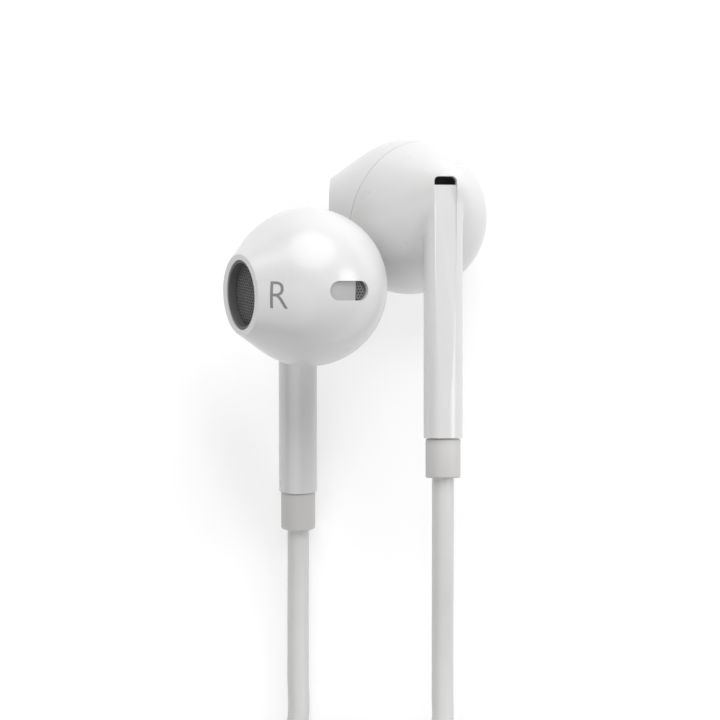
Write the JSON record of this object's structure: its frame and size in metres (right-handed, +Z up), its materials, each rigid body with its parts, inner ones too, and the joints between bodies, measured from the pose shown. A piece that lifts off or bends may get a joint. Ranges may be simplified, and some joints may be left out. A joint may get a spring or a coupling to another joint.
{
  "type": "wired earphones",
  "caption": "Pair of white wired in-ear buds with stems, vented heads, an in-line key remote, a Y split, a coiled cord and a jack plug.",
  "frame": {"origin": "on the surface that the pair lies on, under the middle of the box of the two buds", "axes": "+Z up off the surface, +Y from the cords to the heads, +X to the right as seen from above"},
  "size_m": [0.0437, 0.1108, 0.027],
  "materials": {
    "gloss_shell": "glossy white moulded plastic",
    "satin_rubber": "soft white elastomer",
    "cord_jacket": "matte white cord jacket",
    "mouth_rim": "pale grey rim",
    "dark_mesh": "dark perforated mesh",
    "steel": "plain steel",
    "copper": "copper wire",
    "film": "thin moulded film",
    "board": "green circuit board",
    "contact": "bright plated contact",
    "insulator": "black insulator",
    "tie": "pale woven tie"
  },
  "bodies": {
    "earphones": {"left_front_shell": "gloss_shell", "left_rear_shell": "gloss_shell", "left_mouth_ring": "mouth_rim", "left_mouth_mesh": "dark_mesh", "left_side_mesh": "dark_mesh", "left_bass_mesh": "dark_mesh", "left_driver_frame": "steel", "left_magnet": "steel", "left_top_plate": "steel", "left_voice_coil": "copper", "left_diaphragm": "film", "left_terminal_board": "board", "left_strain_relief": "satin_rubber", "left_cord_crimp": "steel", "left_inner_lead": "copper", "right_front_shell": "gloss_shell", "right_rear_shell": "gloss_shell", "right_mouth_ring": "mouth_rim", "right_mouth_mesh": "dark_mesh", "right_side_mesh": "dark_mesh", "right_bass_mesh": "dark_mesh", "right_driver_frame": "steel", "right_magnet": "steel", "right_top_plate": "steel", "right_voice_coil": "copper", "right_diaphragm": "film", "right_terminal_board": "board", "right_strain_relief": "satin_rubber", "right_cord_crimp": "steel", "right_inner_lead": "copper", "remote_back_shell": "gloss_shell", "remote_front_shell": "gloss_shell", "remote_board": "board", "switch_strip": "steel", "microphone": "steel", "split_lower_shell": "gloss_shell", "split_upper_shell": "gloss_shell", "split_crimp": "steel", "plug_sheath": "gloss_shell", "plug_strain_relief": "satin_rubber", "plug_tip": "contact", "plug_insulator_1": "insulator", "plug_ring_1": "contact", "plug_insulator_2": "insulator", "plug_ring_2": "contact", "plug_insulator_3": "insulator", "plug_sleeve": "contact", "cord_coil": "cord_jacket", "cord_tie": "tie", "left_cord": "cord_jacket", "right_cord": "cord_jacket", "right_lower_cord": "cord_jacket", "left_cord_end": "cord_jacket", "right_cord_end": "cord_jacket", "main_cord_start": "cord_jacket", "main_cord_end": "cord_jacket"},
    "key_volume_down": {"key_volume_down": "satin_rubber"},
    "key_centre": {"key_centre": "satin_rubber"},
    "key_volume_up": {"key_volume_up": "satin_rubber"}
  },
  "joints": [
    {"name": "key_volume_down_press", "type": "slide", "parent": "earphones", "child": "key_volume_down", "axis": [0, 0, -1], "range_m": [0, 0.00025], "stiffness_N_per_m": 2000},
    {"name": "key_centre_press", "type": "slide", "parent": "earphones", "child": "key_centre", "axis": [0, 0, -1], "range_m": [0, 0.00025], "stiffness_N_per_m": 2000},
    {"name": "key_volume_up_press", "type": "slide", "parent": "earphones", "child": "key_volume_up", "axis": [0, 0, -1], "range_m": [0, 0.00025], "stiffness_N_per_m": 2000}
  ]
}
